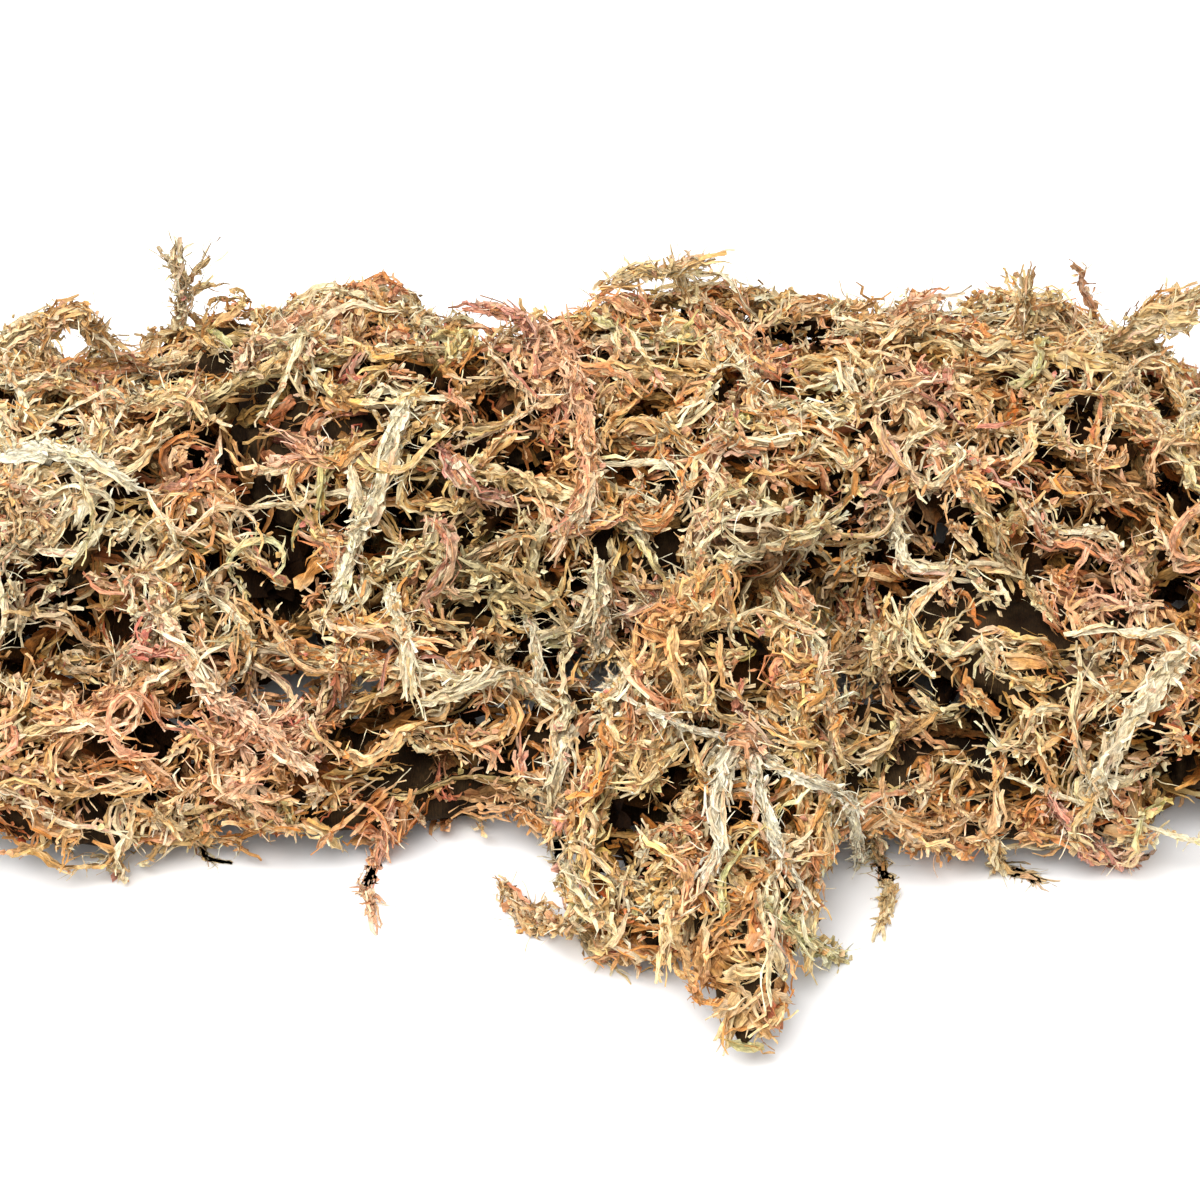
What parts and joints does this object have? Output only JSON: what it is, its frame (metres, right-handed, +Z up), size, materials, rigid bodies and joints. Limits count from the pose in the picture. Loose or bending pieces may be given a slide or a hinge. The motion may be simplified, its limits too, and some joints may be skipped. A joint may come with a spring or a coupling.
{
  "type": "sphagnum moss clump",
  "caption": "Long loose heap of dried sphagnum moss, matted tufts under tangled pale strands and bare stems, lying on a flat surface.",
  "frame": {"origin": "middle of the clump's bounding box, on the surface that it lies on", "axes": "+X along the clump's length, +Z up, the thin spill of loose moss runs out towards -Y"},
  "size_m": [0.3152, 0.1912, 0.0641],
  "materials": {
    "matted_moss": "matte",
    "strand_moss": "matte",
    "bare_stem": "matte"
  },
  "bodies": {
    "root": {"tuft_01": "matted_moss", "tuft_02": "matted_moss", "tuft_03": "matted_moss", "tuft_04": "matted_moss", "tuft_05": "matted_moss", "tuft_06": "matted_moss", "tuft_07": "matted_moss", "tuft_08": "matted_moss", "tuft_09": "matted_moss", "tuft_10": "matted_moss", "tuft_11": "matted_moss", "tuft_12": "matted_moss", "tuft_13": "matted_moss", "tuft_14": "matted_moss", "tuft_15": "matted_moss", "tuft_16": "matted_moss", "tuft_17": "matted_moss", "tuft_18": "matted_moss", "tuft_19": "matted_moss", "tuft_20": "matted_moss", "tuft_21": "matted_moss", "tuft_22": "matted_moss", "tuft_23": "matted_moss", "tuft_24": "matted_moss", "tuft_25": "matted_moss", "tuft_26": "matted_moss", "spill_tuft_01": "matted_moss", "spill_tuft_02": "matted_moss", "strand_01": "strand_moss", "strand_02": "strand_moss", "strand_03": "strand_moss", "strand_04": "strand_moss", "strand_05": "strand_moss", "strand_06": "strand_moss", "strand_07": "strand_moss", "strand_08": "strand_moss", "strand_09": "strand_moss", "strand_10": "strand_moss", "strand_11": "strand_moss", "strand_12": "strand_moss", "strand_13": "strand_moss", "strand_14": "strand_moss", "strand_15": "strand_moss", "strand_16": "strand_moss", "strand_17": "strand_moss", "strand_18": "strand_moss", "strand_19": "strand_moss", "strand_20": "strand_moss", "strand_21": "strand_moss", "strand_22": "strand_moss", "strand_23": "strand_moss", "strand_24": "strand_moss", "strand_25": "strand_moss", "stem_01": "bare_stem", "stem_02": "bare_stem", "stem_03": "bare_stem", "stem_04": "bare_stem", "stem_05": "bare_stem"}
  },
  "joints": []
}
